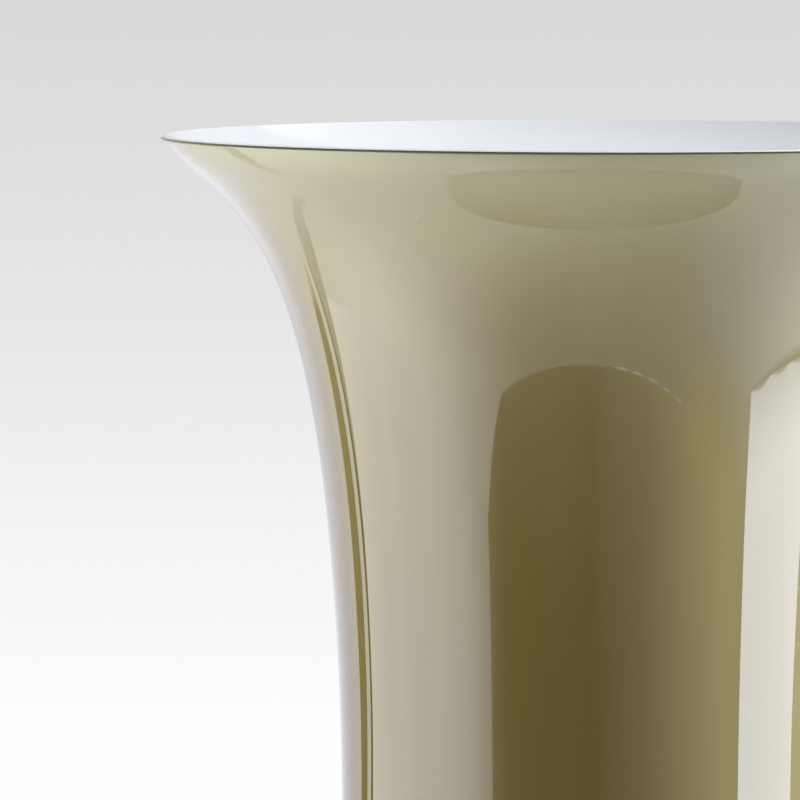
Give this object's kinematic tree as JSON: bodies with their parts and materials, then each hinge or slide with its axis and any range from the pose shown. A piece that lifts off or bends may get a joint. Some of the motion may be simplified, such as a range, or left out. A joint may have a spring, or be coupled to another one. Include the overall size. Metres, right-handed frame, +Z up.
{
  "type": "art glass vase",
  "caption": "Blown glass vase with a straight body and a wide trumpet mouth: taupe glass cased over a white opal lining, with a polished rim and base.",
  "frame": {"origin": "centre of the base, on the surface that the vase stands on", "axes": "+Z up along the axis of revolution, from the base to the mouth; X and Y are equal because the form is round"},
  "size_m": [0.22, 0.22, 0.3],
  "materials": {
    "taupe_glass": "polished",
    "opal_glass": "polished",
    "clear_glass": "polished"
  },
  "bodies": {
    "root": {"taupe_casing": "taupe_glass", "opal_lining": "opal_glass", "punty_seal": "clear_glass"}
  },
  "joints": []
}
